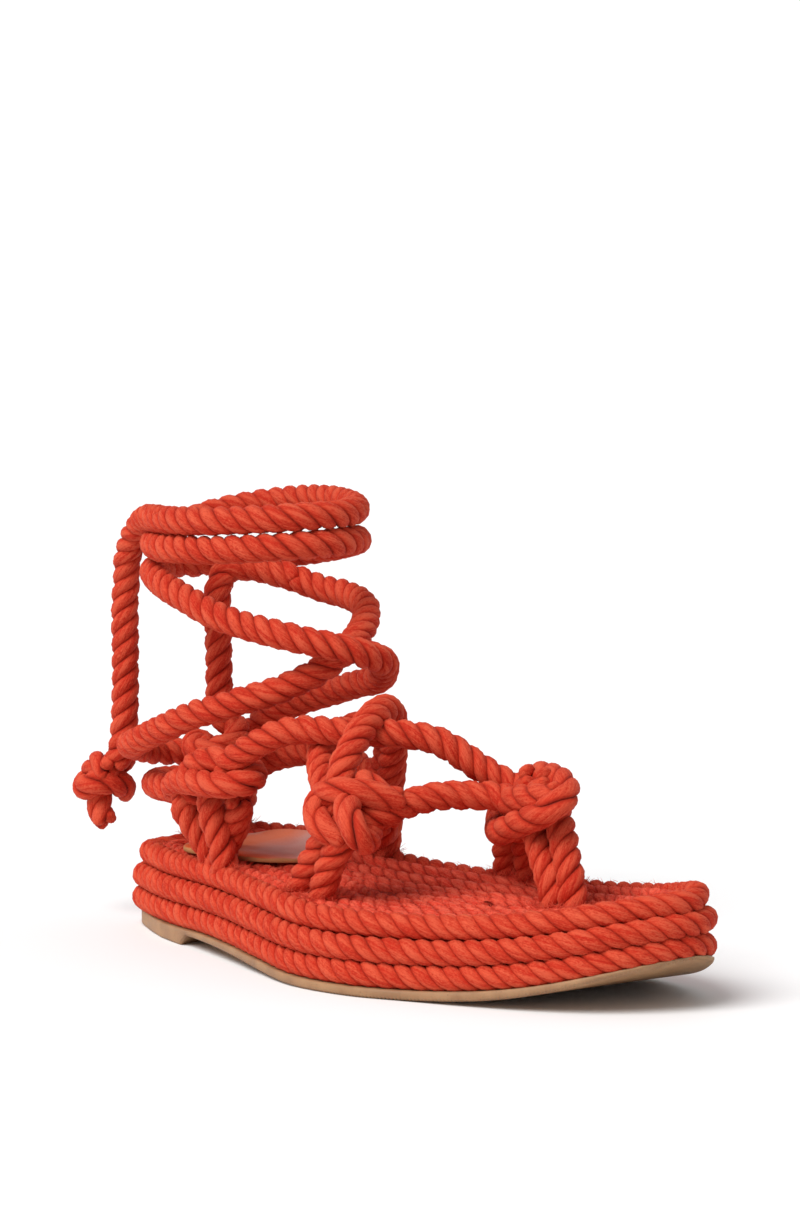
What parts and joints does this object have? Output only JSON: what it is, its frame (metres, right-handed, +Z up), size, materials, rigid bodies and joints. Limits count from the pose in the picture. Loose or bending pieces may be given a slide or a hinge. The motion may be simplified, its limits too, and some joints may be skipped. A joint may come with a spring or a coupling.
{
  "type": "rope sandal",
  "caption": "Open sandal with an upper of thick twisted rope, knotted at toe, instep and heel and wound round the ankle, on a sole of stacked rope coils with a rubber outsole.",
  "frame": {"origin": "on the floor, under the middle of the sole", "axes": "+X from heel to toe, +Y to the inner side of the foot, +Z up"},
  "size_m": [0.2925, 0.1011, 0.1498],
  "materials": {
    "rope": "matte twisted rope, slightly fuzzy",
    "rubber": "satin caramel rubber",
    "leather": "smooth satin leather"
  },
  "bodies": {
    "root": {"outsole": "rubber", "rope_layer_bottom": "rope", "rope_layer_middle": "rope", "rope_layer_top": "rope", "heel_pad": "leather", "toe_loop": "rope", "instep_arch": "rope", "heel_loop": "rope", "side_rope_outer": "rope", "side_rope_over": "rope", "side_rope_inner": "rope", "ankle_wraps": "rope", "hanging_end_long": "rope", "hanging_end_long_knot": "rope", "hanging_end_short": "rope", "hanging_end_short_knot": "rope"}
  },
  "joints": []
}
